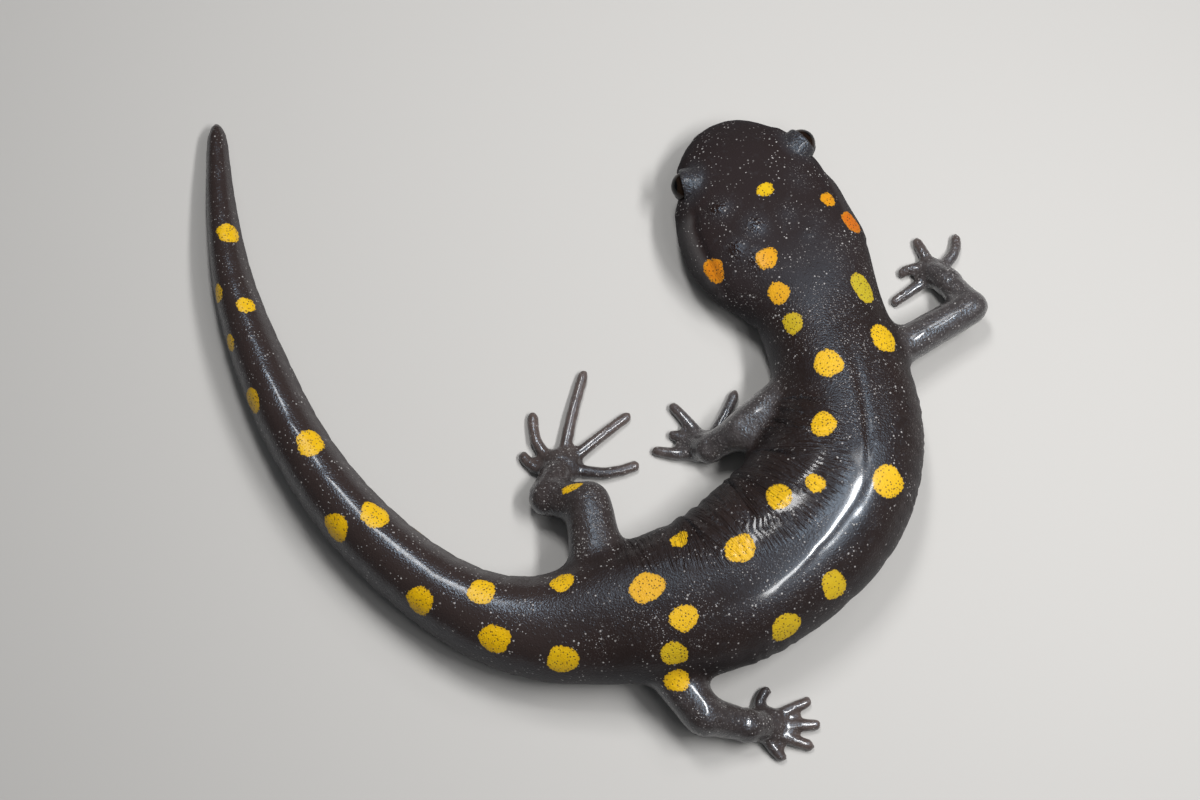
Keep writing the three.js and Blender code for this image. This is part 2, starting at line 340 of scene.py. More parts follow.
def smoothed(values, edges, passes, share=1.0):
    count = np.bincount(edges.ravel(), minlength=len(values))
    for _ in range(passes):
        values = values + 0.5 * share * (neighbour_mean(values, edges, count) - values)
    return values


def nearest_part(points):
    return np.array([parts_of_face[heap_tree.find_nearest(Vector(p))[2]] for p in points])


print(len(melted.vertices), "points to smooth")

# %% Smooth by thickness, then shrink back to the solids
THIN = {"hand": 0.16, "foot": 0.16, "forearm": 0.3, "upper_arm": 0.35, "shank": 0.35, "thigh": 0.45}
THIN.update({"eye": 0.10, "head": 0.6, "lower_jaw": 0.5, "tail_tip": 0.3, "tail_rear": 0.6})
BROW_REACH = [3.2, 6.5]
BROW_SHARE = 0.10
PASSES = 44
points = points_of(melted)
edges = edges_of(melted)
part = nearest_part(points)
ease = np.ones(len(points))
for name, share in THIN.items():
    ease[np.char.startswith(part, name)] = share
for name in EYE_NODES:
    low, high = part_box(name)
    from_eye = np.linalg.norm(points - np.array((low + high) / 2) / MM, axis=1)
    ease = np.minimum(ease, np.interp(from_eye, BROW_REACH, [BROW_SHARE, 1]))
ease = smoothed(ease[:, None], edges, 8)
once = smoothed(points, edges, PASSES, ease)
twice = smoothed(once, edges, PASSES, ease)
points = 2 * once - twice
write_points(melted, points)
points = points - normals_of(melted) * SWELL
write_points(melted, points)
print("smoothed", len(points), "points; lowest", round(points[:, 2].min(), 2))

# %% [markdown]
# ## More points where the detail is
#
# A face needs finer points than a flank. Subdividing everything would waste most of them, so only the head,
# the feet, the strip over the spine and the pleated inner side of the bend are divided, and then once more
# round the eyes, the mouth and the nostrils. Everything below moves points, so this comes first.
#
# A toe is hardly wider than three cells of the remesh, which leaves it lumpy. With its new points it can be
# laid back on the toes of the solids and eased there.

# %% Places on the face
EYES = {}
for name in EYE_NODES:
    low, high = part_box(name)
    EYES[name] = {"at": np.array((low + high) / 2) / MM, "radius": (high - low)[2] / 2 / MM}
jaw = corners_of("lower_jaw")
jaw_gone = on_body(jaw)[0]
rim = [(at, jaw[np.abs(jaw_gone - at) < 1, 2].max()) for at in range(3, 12, 2)]
mouth_slope, mouth_level = np.polyfit(*zip(*rim), 1)
ABOVE_RIM = 0.15
MOUTH_CORNER = jaw_gone.max()
NOSTRIL = {"gone": 1.5, "across": 2.7, "up": 5.0, "radius": 0.34}


def mouth_height(gone):
    return mouth_level + mouth_slope * gone + ABOVE_RIM


print("mouth", round(mouth_level, 2), "mm up at the snout, corner at", round(MOUTH_CORNER, 1), "mm")

# %% Divide the chosen faces
def divide(mesh, chosen):
    """Each face whose corners are all chosen becomes four."""
    shape = bmesh.new()
    shape.from_mesh(mesh)
    shape.verts.ensure_lookup_table()
    edges = {e for f in shape.faces if all(chosen[v.index] for v in f.verts) for e in f.edges}
    bmesh.ops.subdivide_edges(shape, edges=list(edges), cuts=1, use_grid_fill=True)
    bmesh.ops.triangulate(shape, faces=[f for f in shape.faces if len(f.verts) > 4])
    shape.to_mesh(mesh)
    shape.free()


print("ready to divide", len(melted.polygons), "faces")

# %% Divide the head, feet, spine and inner bend
FACE_ROUND = 118
SPINE_STRIP = 2.2
PLEATS_REACH = [(43, -4.0), (50, -3.0), (53, -1.8), (61, -3.1), (68, -4.0), (84, -7.0)]


def pleats_reach(gone):
    """How near to the line of the spine the pleats of the inner bend reach."""
    return np.interp(gone, *zip(*PLEATS_REACH))


def is_foot(part):
    return np.char.startswith(part, "hand") | np.char.startswith(part, "foot")


HEAD = ["head", "lower_jaw", "eye_left", "eye_right"]
gone, across, angle = on_body(points)
off_spine = follow(spine_path, points)[1]
on_face = np.isin(part, HEAD) & (np.abs(angle) < FACE_ROUND)
on_spine = (np.abs(off_spine) < SPINE_STRIP) & (gone > 34) & (gone < 68) & (np.abs(angle) < 60)
in_bend = (angle > -72) & (off_spine < pleats_reach(gone)) & (gone > 43) & (gone < 84)
divide(melted, is_foot(part) | on_face | on_spine | (in_bend & np.isin(part, LENGTHS)))
print(len(melted.polygons), "faces")

# %% Divide once more round the mouth, nostrils and eyes
ROUND_MOUTH, ROUND_NOSTRIL, ROUND_EYE = 0.7, 1.2, 1.1


def from_nostril(gone, across, up):
    """How far each point lies from the nostril on the right, and so, with across turned, on the left."""
    off = np.column_stack([gone - NOSTRIL["gone"], across - NOSTRIL["across"], up - NOSTRIL["up"]])
    return np.linalg.norm(off, axis=1)


points = points_of(melted)
part = nearest_part(points)
gone, across, angle = on_body(points)
by_mouth = np.abs(points[:, 2] - mouth_height(gone)) < ROUND_MOUTH
fine = np.isin(part, HEAD) & (gone < MOUTH_CORNER + 1) & by_mouth
fine |= from_nostril(gone, np.abs(across), points[:, 2]) < ROUND_NOSTRIL
for eye in EYES.values():
    fine |= np.linalg.norm(points - eye["at"], axis=1) < eye["radius"] + ROUND_EYE
divide(melted, fine)
print(len(melted.polygons), "faces,", sum(len(f.vertices) - 2 for f in melted.polygons), "triangles")

# %% Settle the new points, and lay the feet back on the solids
TOE_FLESH = 0.12
points = points_of(melted)
edges = edges_of(melted)
part = nearest_part(points)
points = smoothed(points, edges, 2)
feet = smoothed(is_foot(part)[:, None].astype(float), edges, 6)
on_solids = points.copy()
for i in np.flatnonzero(feet[:, 0] > 0.01):
    at, normal = heap_tree.find_nearest(Vector(points[i]))[:2]
    on_solids[i] = at - normal * SWELL
points += feet * (on_solids - points)
points = smoothed(points, edges, 6, feet)
write_points(melted, points)
points += normals_of(melted) * TOE_FLESH * feet
write_points(melted, points)
print("laid down", int((feet > 0.5).sum()), "points of the feet")

# %% Measure every point
normals = normals_of(melted)
gone, across, angle = on_body(points)
off_spine = follow(spine_path, points)[1]
off_top = np.abs(angle)
up = points[:, 2]
face = np.isin(part, HEAD).astype(float)
on_limb = ~np.isin(part, LENGTHS + HEAD)
body = 1 - smoothed(on_limb[:, None].astype(float), edges, 10)[:, 0]
print("on the body:", round(body.mean(), 2), "of the points")

# %% Bells and ramps
def bell(x, width):
    return np.exp(-((x / width) ** 2))


def bells(x, row):
    """A row of bells added up, each given as centre, width and height."""
    return sum(height * bell(x - centre, width) for centre, width, height in row.values())


def ramp(x, start, end):
    """0 up to start, 1 from end on, with an eased slope between them."""
    t = np.clip((x - start) / (end - start), 0, 1)
    return t * t * (3 - 2 * t)


def span(x, start, full, fade, end):
    """0 outside start and end, 1 from full to fade."""
    return ramp(x, start, full) * (1 - ramp(x, fade, end))


def along_body(knots):
    """A value that changes along the body, from knots of distance and value."""
    return np.interp(gone, *zip(*knots))


rise = np.zeros(len(points))
print("a bell is half as high", round(math.sqrt(math.log(2)), 2), "of its width away")

# %% [markdown]
# ## Folds of the body
#
# A salamander's skin is a loose bag over muscle. Down the middle of its back runs a shallow groove over the
# spine. In the bend two low steps take its place. They aren't known anatomy, but a guess, shaped until the
# wet streak along the back ran where it should. A dozen costal grooves on each flank mark the ribs, and
# fainter ones go on down the tail. On the inner side of the bend the skin is squeezed into pleats. Each
# fold is a soft bell curve or a step, and they are added up as one height by which every point will rise or
# sink along its own normal. Sculpting by hand would do as well, but a sum of curves can be read, measured
# and changed.

# %% The groove over the spine
GROOVE_WIDE = [(38, 0.60), (48, 0.50), (53, 0.34)]
GROOVE_DEEP = [(48, 0.16), (54, 0.065)]
SHOULDER_SHARE = 0.45
on_top = 1 - ramp(off_top, 60, 85)
spine = span(gone, 34, 44, 51, 55) * on_top * body
wide = along_body(GROOVE_WIDE)
deep = along_body(GROOVE_DEEP)
rise -= deep * bell(off_spine, wide) * spine
shoulders = bell(off_spine - 2 * wide, wide) + bell(off_spine + 2 * wide, wide)
rise += SHOULDER_SHARE * deep * shoulders * (1 - ramp(gone, 47, 53)) * spine
print("spine groove down to", round(rise.min(), 2), "mm")

# %% The two steps in the bend
CREST_AT = [(53.6, 0.5), (55.1, 0.0), (57.0, -0.4), (59.3, -0.65), (62.8, -0.7), (65.7, 0.1), (68.1, 0.45)]
CREST_FALL = [(50, 0), (52, 0.07), (55, 0.12), (57, 0.14), (59.3, 0.16), (62.8, 0.16), (65.7, 0.08)]
CREST_FALL += [(68.1, 0.05), (75, 0)]
STEP_AT = [(54.2, 1.05), (55.4, 0.95), (57.3, 0.6)]
STEP_RISE = [(52.5, 0), (54, 0.09), (56.5, 0.08), (58.5, 0)]
STEP_WIDE = 0.40


def beyond(edge):
    """0 on the inner side of a line along the back, 1 on its outer side."""
    return 0.5 + 0.5 * np.tanh((off_spine - along_body(edge)) / STEP_WIDE)


steps = along_body(STEP_RISE) * beyond(STEP_AT) - along_body(CREST_FALL) * beyond(CREST_AT)
rise += steps * (1 - ramp(off_spine, 2.5, 6.5)) * body
print("steps from", round(steps.min(), 2), "to", round(steps.max(), 2), "mm")

# %% The grooves between the ribs
FIRST_RIB, LAST_RIB, RIBS = 43.0, 86.0, 12
TAIL_RIBS = np.arange(98.0, 168.0, 4.1)
RIB_DEEP, RIB_DEEPER, RIB_UNEVEN = 0.09, 0.12, 0.03
RIB_WIDE, RIB_LEAN = 0.62, 0.008
steady = np.random.default_rng(7)
flank = span(off_top, 26, 48, 112, 135) * body
flank *= np.where(across > 0, ramp(off_spine, 2.0, 4.5), 1.0)
for at in np.linspace(FIRST_RIB, LAST_RIB, RIBS):
    lean = RIB_LEAN * (off_top - 60) * (1 if at > 60 else -1)
    depth = RIB_DEEP + RIB_DEEPER * ramp(-across, 2, 8) + steady.uniform(-RIB_UNEVEN, RIB_UNEVEN)
    rise -= depth * bell(gone - at - lean, RIB_WIDE) * flank
    rise += 0.4 * depth * bell(gone - at - lean - 1.9, 1.2) * flank
tail_side = span(off_top, 30, 60, 120, 140) * body
for at in TAIL_RIBS:
    rise -= RIB_DEEP * (1 - ramp(gone, 120, 175) * 0.6) * bell(gone - at, 0.55) * tail_side
print(RIBS, "costal grooves on each side,", len(TAIL_RIBS), "on the tail")

# %% Pleats where the bend squeezes the skin
PLEAT_STEP, PLEAT_DEEP = 0.80, 0.050
within = pleats_reach(gone) - off_spine
bend = ramp(within, 0.0, 1.6) * (1 - ramp(-angle, 55, 72)) * span(gone, 44, 51, 72, 84) * body
wander = 0.30 * np.sin(angle / 7) + 0.22 * np.sin(angle / 3.1 + gone)
folds = np.cos(math.tau * (gone + wander) / PLEAT_STEP)
uneven = 0.55 + 0.45 * np.sin(gone * 1.1 + angle / 11) * np.sin(gone * 0.37 - angle / 17)
rise += PLEAT_DEEP * folds * uneven * bend
print("pleats on", round(float(bend.mean()) * 100, 1), "% of the skin")

# %% [markdown]
# ## The head
#
# The head is a broad shield with soft edges. A closed mouth is a fine slit, and from its corner a crease
# runs back over the cheek. Behind each eye lies a patch of swollen glands, and a fold of loose skin crosses
# under the throat. All of these are bell curves again, placed by distance from the snout.
#
# The lids come last. Every point near an eyeball is moved straight towards the ball's middle or away from
# it, to just outside the ball where there is lid, and to inside the ball in the opening between the lids.

# %% Mouth, cheek crease and throat fold
LIPS = {"slit": (0, 0.17, -0.34), "upper": (0.62, 0.42, 0.10), "lower": (-0.62, 0.40, 0.07)}
CHEEK = {"crease": (1.9, 0.55, -0.26), "roll": (0.7, 0.7, 0.10)}
THROAT = {"fold": (0, 0.6, -0.34), "roll": (-1.3, 0.9, 0.12)}
above_mouth = up - mouth_height(gone)
lips = face * (1 - ramp(gone, MOUTH_CORNER - 2.5, MOUTH_CORNER))
rise += bells(above_mouth, LIPS) * lips

in_from_side = read_at(relaxed(half_width[:, None], 12), gone)[:, 0] - np.abs(across)
cheek = span(gone, 9.0, 12, 19, 24) * span(off_top, 40, 55, 82, 95)
cheek *= np.where(across < 0, 1.0, 0.55) * body
rise += bells(in_from_side, CHEEK) * cheek

behind_throat = gone - 26.5 - 0.018 * (off_top - 90)
rise += bells(behind_throat, THROAT) * ramp(off_top, 72, 100) * body
print("mouth slit", round(float((lips * bell(above_mouth, 0.17)).sum())), "points deep in it")

# %% Glands, brow troughs and nostrils
GLANDS = [(13.0, 5.9, 1.6, 0.36), (17.3, 2.3, 1.5, 0.30), (19.2, 5.6, 1.4, 0.30), (21.3, 3.8, 1.3, 0.24)]
RIGHT_GLANDS = 0.35
BROW = {"gone": 4.2, "across": 4.6, "deep": 0.12}
NAPE_DEEP = 0.14
HOLE = {"pit": (0, NOSTRIL["radius"], -0.42), "rim": (0.62, 0.26, 0.07)}
pores = np.zeros(len(points))
for side in (-1, 1):
    for at, out, size, height in GLANDS:
        gland = bell(np.hypot(gone - at, across - side * out), size) * face * ramp(up, 6, 7)
        gland *= 1.0 if side < 0 else RIGHT_GLANDS
        rise += height * gland
        pores = np.maximum(pores, gland)
    trough = bell(gone - BROW["gone"], 1.8) * bell(across - side * BROW["across"], 1.5)
    rise -= BROW["deep"] * trough * face
    rise += bells(from_nostril(gone, side * across, up), HOLE) * face
rise -= NAPE_DEEP * bell(off_spine, 1.5) * span(gone, 11, 16, 24, 28) * on_top * body
print("gland points:", int((pores > 0.5).sum()))

# %% Move the skin
points = points + normals * rise[:, None]
print("moved by", round(rise.min(), 2), "to", round(rise.max(), 2), "mm")

# %% Aim the eyes
GAZE = {"eye_left": (-1, 0.26, 0.30), "eye_right": (1, 0.28, 0.52)}  # side, ahead, up


def turned(eye, side, look_ahead, look_up):
    """The line of sight of an eye, and the ways along and over the opening between its lids."""
    at = on_body(eye["at"][None])[0]
    out = Vector((*read_at(right, at)[0], 0)) * side
    fore = Vector((*read_at(ahead, at)[0], 0))
    axis = (out + fore * look_ahead + Vector((0, 0, look_up))).normalized()
    along = (fore - axis * fore.dot(axis)).normalized()
    over = axis.cross(along)
    return axis, along, over if over.z > 0 else -over


for name, eye in EYES.items():
    eye["axis"], eye["along"], eye["over"] = turned(eye, *GAZE[name])
    print(name, "looks", round(math.degrees(math.asin(eye["axis"].z))), "degrees above level")

# %% Close the lids on the eyeballs
OPENING = {"up": 54, "down": 44, "along": 70}
UPPER_LID, LOWER_LID = 0.32, 0.07
LID_RIM = 0.03
CHEEK_FILL = {"eye_left": 0.06, "eye_right": 0.36}
lids = np.zeros(len(points))
for name, eye in EYES.items():
    radius = eye["radius"]
    off = points - eye["at"]
    reach = np.linalg.norm(off, axis=1)
    facing = off / reach[:, None]
    from_axis = np.degrees(np.arccos(np.clip(facing @ np.array(eye["axis"]), -1, 1)))
    turn = np.arctan2(facing @ np.array(eye["over"]), facing @ np.array(eye["along"]))
    tall = np.where(np.sin(turn) > 0, OPENING["up"], OPENING["down"])
    edge = 1 / np.hypot(np.cos(turn) / OPENING["along"], np.sin(turn) / tall)
    past_edge = np.radians(from_axis - edge) * radius
    thick = LOWER_LID + (UPPER_LID - LOWER_LID) * ramp(np.sin(turn), -0.35, 0.55)
    lid = radius + thick + LID_RIM * bell(past_edge - 0.24, 0.2) + 0.45 * ramp(past_edge, 0.5, 3.2)
    wanted = lid + (radius - 0.5 - lid) * ramp(-past_edge, 0.0, 0.2)
    near = (1 - ramp(reach, radius + 0.9, radius + 2.0)) * (from_axis < 150)
    hold = near * (1 - ramp(past_edge, 1.0, 3.2))
    points = points + facing * ((wanted - reach) * hold)[:, None]
    fill = CHEEK_FILL[name] * bell(reach - radius - 1.5, 1.0) * ramp(from_axis, 65, 100) * face
    points = points + normals * fill[:, None]
    on_lid = (1 - ramp(reach, radius + 0.3, radius + 2.2)) * ramp(facing[:, 2], 0.0, 0.4)
    lids = np.maximum(lids, on_lid)
lids = smoothed(lids[:, None], edges, 6)[:, 0]
points[:, 2] = np.maximum(points[:, 2], 0)
write_points(melted, points)
normals = normals_of(melted)
print("skin stands", round(points[:, 2].max(), 2), "mm tall")

# %% [markdown]
# ## Spots
#
# Two uneven rows of spots run from the head to the tip of the tail. They could be painted on an image, but
# a spot is simple enough to state: how far from the snout, how many degrees round from the top of the back
# (positive to the right), how long, how wide, and how orange it is. Below zero a spot turns olive: on the
# crown a dull spot, and on the spots down the sides painted shade. Two spots lie on legs, and are placed
# in plan, by their x and y from the middle of a solid. Each point of the skin stores how deep inside the
# nearest spot it lies. The shader only has to ask whether that depth is above zero, which keeps the edges
# crisp however coarse the mesh is, and it can roughen them.

# %% The list of spots
SPOTS = [
    # gone, angle, length, width, orange; olive below zero, on the side spots painted shade
    (13.1, 8, 1.8, 2.4, -0.3),  # crown
    (16.9, 62, 2.1, 2.3, 0.55),  # right temple
    (22.9, 69, 3.4, 2.7, 0.9),
    (20.1, -71, 3.5, 2.7, 0.7),  # left cheek
    (21.5, -31, 2.8, 3.0, 0.45),  # nape
    (25.8, -42, 2.9, 2.9, 0.4),
    (31.5, -43, 3.0, 2.8, -0.5),
    (30.2, 48, 4.4, 3.0, -0.6),
    (38.8, -20, 4.0, 3.6, 0.1),  # shoulders and back
    (36.7, 46, 4.2, 3.9, -0.2),
    (48.9, -21, 3.4, 3.2, 0.0),
    (53.4, 41, 4.3, 4.3, -0.1),
    (57.1, -9, 2.2, 2.6, 0.0),
    (61.3, -27, 3.3, 3.3, 0.05),
    (63.7, 54, 3.4, 4.0, -0.4),
    (69.8, -11, 3.8, 3.5, 0.15),
    (71.1, 59, 3.9, 4.0, -0.4),
    (77.7, -46, 2.2, 2.6, 0.0),
    (79.3, 26, 3.6, 3.2, 0.1),
    (82.6, -12, 4.4, 3.8, 0.3),
    (82.3, 51, 3.3, 3.4, -0.4),
    (93.0, -38, 3.0, 3.0, 0.0),  # hips
    (94.0, 47, 4.0, 3.8, -0.2),
    (101.1, 32, 4.1, 3.6, 0.05),  # tail
    (104.3, -17, 3.5, 3.4, 0.0),
    (110.5, 31, 3.7, 3.7, 0.1),
    (121.8, -22, 3.8, 3.6, 0.0),
    (124.1, 33, 3.9, 3.5, 0.1),
    (134.8, -16, 3.8, 3.5, 0.0),
    (143.8, 43, 3.5, 2.9, 0.1),
    (152.3, 44, 2.3, 2.2, 0.0),
    (156.1, -16, 2.3, 2.6, 0.0),
    (159.2, 38, 2.6, 1.9, 0.0),
    (167.2, -19, 3.0, 3.0, 0.05),
    (44.5, 92, 2.0, 2.2, -0.3),  # low on the flanks
    (76.5, 98, 2.2, 2.0, -0.3),
    (66.0, -98, 1.8, 2.0, -0.3),
    (117.0, -84, 2.0, 1.8, -0.2),
]
LEG_SPOTS = [("thigh_right", -1.5, 2.8, 3.2, 3.0), ("shank_left", 0.8, 1.0, 2.8, 1.5)]
ELSEWHERE = 99


def middle_of(miss):
    """The place where a miss distance is least, read between the points round it."""
    near = np.exp(-((miss - miss.min() + 0.15) ** 2) / 0.16)
    return (points * near[:, None]).sum(axis=0) / near.sum(), int(np.argmin(miss))


def place_of(at, turn):
    """The place on the body at a distance from the snout and an angle round it."""
    return middle_of(np.hypot(gone - at, np.radians(angle - turn) * 6) + ELSEWHERE * (body < 0.5))


def nearest_to(name, along_x, along_y):
    """The place on the upper skin over a point measured in plan from the middle of a solid."""
    low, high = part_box(name)
    spot = np.array((low + high) / 2)[:2] / MM + (along_x, along_y)
    return middle_of(np.linalg.norm(points[:, :2] - spot, axis=1) + ELSEWHERE * (normals[:, 2] < 0.2))


chosen = [(*place_of(at, turn), size) for at, turn, *size in SPOTS]
chosen += [(*nearest_to(*where), (long, wide, 0)) for *where, long, wide in LEG_SPOTS]
print(len(chosen), "spots")

# %% How deep each point lies in a spot
LOBES = [(2, 0.035), (3, 0.04), (4, 0.025), (5, 0.02)]
depth_in_spot = np.full(len(points), -2.0)
warmth = np.zeros(len(points))
steady = np.random.default_rng(3)
# Each spot's orange goes to the points inside it, and so does its olive, which on the side spots is painted
# shade.
for place, centre, (long, wide, tint_and_shade) in chosen:
    off = points - place
    near = np.linalg.norm(off, axis=1) < long + 3
    facing = normals[centre]
    lengthways = np.array([*ahead[int(np.clip(round(gone[centre]), 0, len(line) - 1))], 0.0])
    lengthways -= facing * (lengthways @ facing)
    lengthways /= np.linalg.norm(lengthways)
    sideways = np.cross(facing, lengthways)
    x, y = off[near] @ lengthways / (long / 2), off[near] @ sideways / (wide / 2)
    bearing = np.arctan2(y, x)
    lobes = sum(size * np.cos(number * bearing + steady.uniform(0, 6.28)) for number, size in LOBES)
    depth = (1 + lobes - np.hypot(x, y)) * (long + wide) / 4
    depth[normals[near] @ facing < -0.2] = -2
    rows = np.flatnonzero(near)
    nearer = depth > depth_in_spot[rows]
    depth_in_spot[rows[nearer]] = depth[nearer]
    warmth[rows[nearer]] = tint_and_shade
print("points inside a spot:", int((depth_in_spot > 0).sum()))

# %% [markdown]
# ## What the shader needs to know about a place
#
# The hide changes from the back to the belly, from the body to the toes, and where it is creased. The
# shader could guess at some of this from height or slope, but a toe and a tail may be equally high. The
# mesh knows exactly, so it stores each fact as a number on every point. Some of the facts say how wet the
# skin is there: polish and sheen beside the spine, matt on the neck, the shoulders and one leg.

# %% Measure the limbs, toes and folds
# Legs get less of the limbs' share than arms: less pebble grain, less gloss and fewer painted glints, and in
# colour less grey and darker than the arms, which is painted shade.
LEG_SHARE = 0.62
PAWS = {"hand_left": "forearm_left", "hand_right": "forearm_right"}
PAWS.update({"foot_left": "shank_left", "foot_right": "shank_right"})
TOES_START, TOES_PALE = 2.8, 9.5
MATT_LEG = ["thigh_left", "shank_left"]
MEAN_RADIUS = 7
underneath = ramp(off_top, 78, 122) * body
on_arm = np.array([name.startswith(("hand", "forearm", "upper_arm")) for name in part])
limbs = smoothed(np.where(on_arm, 1.0, LEG_SHARE * on_limb)[:, None], edges, 14)[:, 0]
toes = np.zeros(len(points))
for name, wrist in PAWS.items():
    low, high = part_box(wrist)
    mine = part == name
    from_wrist = np.linalg.norm(points[mine] - np.array((low + high) / 2) / MM, axis=1)
    toes[mine] = ramp(from_wrist - from_wrist.min(), TOES_START, TOES_PALE)
toes = smoothed(toes[:, None], edges, 4)[:, 0]
matt_leg = smoothed(np.isin(part, MATT_LEG)[:, None].astype(float), edges, 14)[:, 0]
inner_crease = ramp(within, -0.5, 1.5) * (1 - ramp(-angle, 66, 88)) * span(gone, 42, 51, 76, 92) * body
beside_spine = bell(off_spine + 0.6, 2.6) * (1 - inner_crease)
print("toes are", round(toes.mean() * 100, 1), "% of the skin")

# %% Write the facts as attributes
def store(name, values):
    attribute = melted.attributes.new(name, "FLOAT", "POINT")
    attribute.data.foreach_set("value", values.astype(np.float32))


for name, values in {
    "spot": np.clip(depth_in_spot, -2, 2),
    # Orange of the spots, with olive below zero, which on the side spots is painted shade.
    "warmth": warmth,
    "underneath": underneath,
    "limbs": limbs,
    "toes": toes,
    "along": gone,
    "girth": np.radians(angle) * MEAN_RADIUS,
    "inner_crease": inner_crease,
    "pores": pores,
    "face": (1 - ramp(gone, 15, 34)) * body,
    "lids": lids,
    "cheek_strip": cheek * (1 - ramp(in_from_side, 1.2, 1.9)),
    "polish": beside_spine * span(gone, 50.5, 53.5, 70, 86) * body,
    "sheen": bell(off_spine + 0.6, 3.2) * span(gone, 26, 34, 84, 96) * body,
    "matt": np.maximum(span(gone, 20, 25, 49, 54) * body, matt_leg),
    "steep": ramp(off_top, 42, 78) * body,
}.items():
    store(name, values)
    print(name, round(float(values.min()), 2), "to", round(float(values.max()), 2))

# %% [markdown]
# ## Writing shaders as sums
#
# A shader is arithmetic on patterns. Wiring every Math node by hand hides the sum, so a small class wraps a
# socket and lets ordinary operators add the nodes. Everything that isn't arithmetic comes from one method,
# which sets a node's own settings first and then its sockets.

# %% A socket with arithmetic
class Wire:
    def __init__(self, tree, socket=None):
        self.tree, self.socket = tree, socket

    def node(self, kind, settings=None, sockets=None, out=0):
        made = self.tree.nodes.new(kind)
        for name, value in (settings or {}).items():
            setattr(made, name, value)
        for name, value in (sockets or {}).items():
            if isinstance(value, Wire):
                self.tree.links.new(value.socket, made.inputs[name])
            else:
                made.inputs[name].default_value = value
        return Wire(self.tree, made.outputs[out])

    def sum(self, operation, *values):
        return self.node("ShaderNodeMath", {"operation": operation}, dict(enumerate(values)))

    def __add__(self, other):
        return self.sum("ADD", self, other)

    def __sub__(self, other):
        return self.sum("SUBTRACT", self, other)

    def __rsub__(self, other):
        return self.sum("SUBTRACT", other, self)

    def __mul__(self, other):
        return self.sum("MULTIPLY", self, other)

    __radd__ = __add__
    __rmul__ = __mul__

    def between(self, low, high):
        """0 where this is at or below low, 1 at or above high, with an eased slope."""
        settings = {"interpolation_type": "SMOOTHSTEP"}
        return self.node("ShaderNodeMapRange", settings, {"Value": self, "From Min": low, "From Max": high})

    def blend(self, under, over):
        """Colour under where this is 0, colour over where it is 1."""
        return self.node("ShaderNodeMix", {"data_type": "RGBA"}, {0: self, 6: under, 7: over}, out=2)


print("operators ready")

# %% Start a material
def start_material(name):
    """A material with an empty node tree but for its shader, and a wire to start from."""
    material = bpy.data.materials.new(name)
    material.use_nodes = True
    tree = material.node_tree
    tree.nodes.clear()
    shader = tree.nodes.new("ShaderNodeBsdfPrincipled")
    output = tree.nodes.new("ShaderNodeOutputMaterial")
    tree.links.new(shader.outputs[0], output.inputs[0])
    return material, shader, Wire(tree)


def feed(shader, name, wire):
    wire.tree.links.new(wire.socket, shader.inputs[name])


print("materials can be started")

# %% [markdown]
# ## The hide
#
# The back is brown-black, wet and glossy over a fine grain, and the flanks, belly and legs turn slate grey
# with pale flecks. The flecks are partly the skin's own and partly painted glints, thickest where the lamps
# glint. Toes are thin enough to look a paler brown-grey. Spots are chrome yellow, orange on the head,
# peppered with dark pores and ragged at the edge; down the sides they turn olive, which is painted shade.
# The grain is bump, because its pits are a fifth of a millimetre across, far finer than the mesh. Each pit
# catches the lamps as a pinprick of light.
#
# The wet film over it is the shader's coat. The coat leaves out the bump, so it draws smooth streaks, while
# the layer under it stays grainy and a little blue. It is thick beside the spine and on the lids, broken up
# on the pleats, and almost gone from the head, the flanks and the neck. A real wet skin is probably more
# even: these shares were chosen so that the glints fall where they should under the lamps of this scene.

# %% Patterns in millimetres
hide, hide_shader, start = start_material("spotted_hide")


def fact(name):
    return start.node("ShaderNodeAttribute", {"attribute_name": name}, out="Fac")


def noise(place, size, detail=2.0, rough=0.5):
    """Cloudy noise from 0 to 1 with features of about this size."""
    sockets = {"Vector": place, "Scale": 1 / size, "Detail": detail, "Roughness": rough}
    return start.node("ShaderNodeTexNoise", {}, sockets, out="Fac")


def cells(place, size, feature="F1"):
    """How far each place is from the middle of its cell, in cells of about this size."""
    sockets = {"Vector": place, "Scale": 1 / size}
    return start.node("ShaderNodeTexVoronoi", {"feature": feature}, sockets, out="Distance")


where = start.node("ShaderNodeTexCoord", out="Object")
where = start.node("ShaderNodeVectorMath", {"operation": "SCALE"}, {0: where, "Scale": 1 / MM})
spot, spot_colour_and_shade, under = fact("spot"), fact("warmth"), fact("underneath")
limb, toe, pored, crease = fact("limbs"), fact("toes"), fact("pores"), fact("inner_crease")
face_share, lid_share, strip = fact("face"), fact("lids"), fact("cheek_strip")
polish, sheen, steep, matt = fact("polish"), fact("sheen"), fact("steep"), fact("matt")
along = fact("along")
tail = along.between(86, 99)
clouds = noise(where, 5.0)
mottle = noise(where, 0.9, 3)
speckle = noise(where, 0.28, 1)
patchy = noise(where, 2.6, 2)
print("patterns ready")

# %% Colours
ragged = (noise(where, 0.5, 3) - 0.5) * 0.3 + (speckle - 0.5) * 0.5
yellow_part = (spot + ragged).between(-0.05, 0.08)

back = clouds.blend((0.011, 0.0062, 0.0046, 1), (0.022, 0.0125, 0.0096, 1))
back = face_share.blend(back, (0.015, 0.0074, 0.0052, 1))
back = (mottle.between(0.55, 0.8) * 0.5).blend(back, (0.030, 0.025, 0.026, 1))
slate = mottle.blend((0.028, 0.0245, 0.0245, 1), (0.086, 0.076, 0.0755, 1))
slate = (speckle.between(0.60, 0.72) * 0.6).blend(slate, (0.15, 0.145, 0.145, 1))
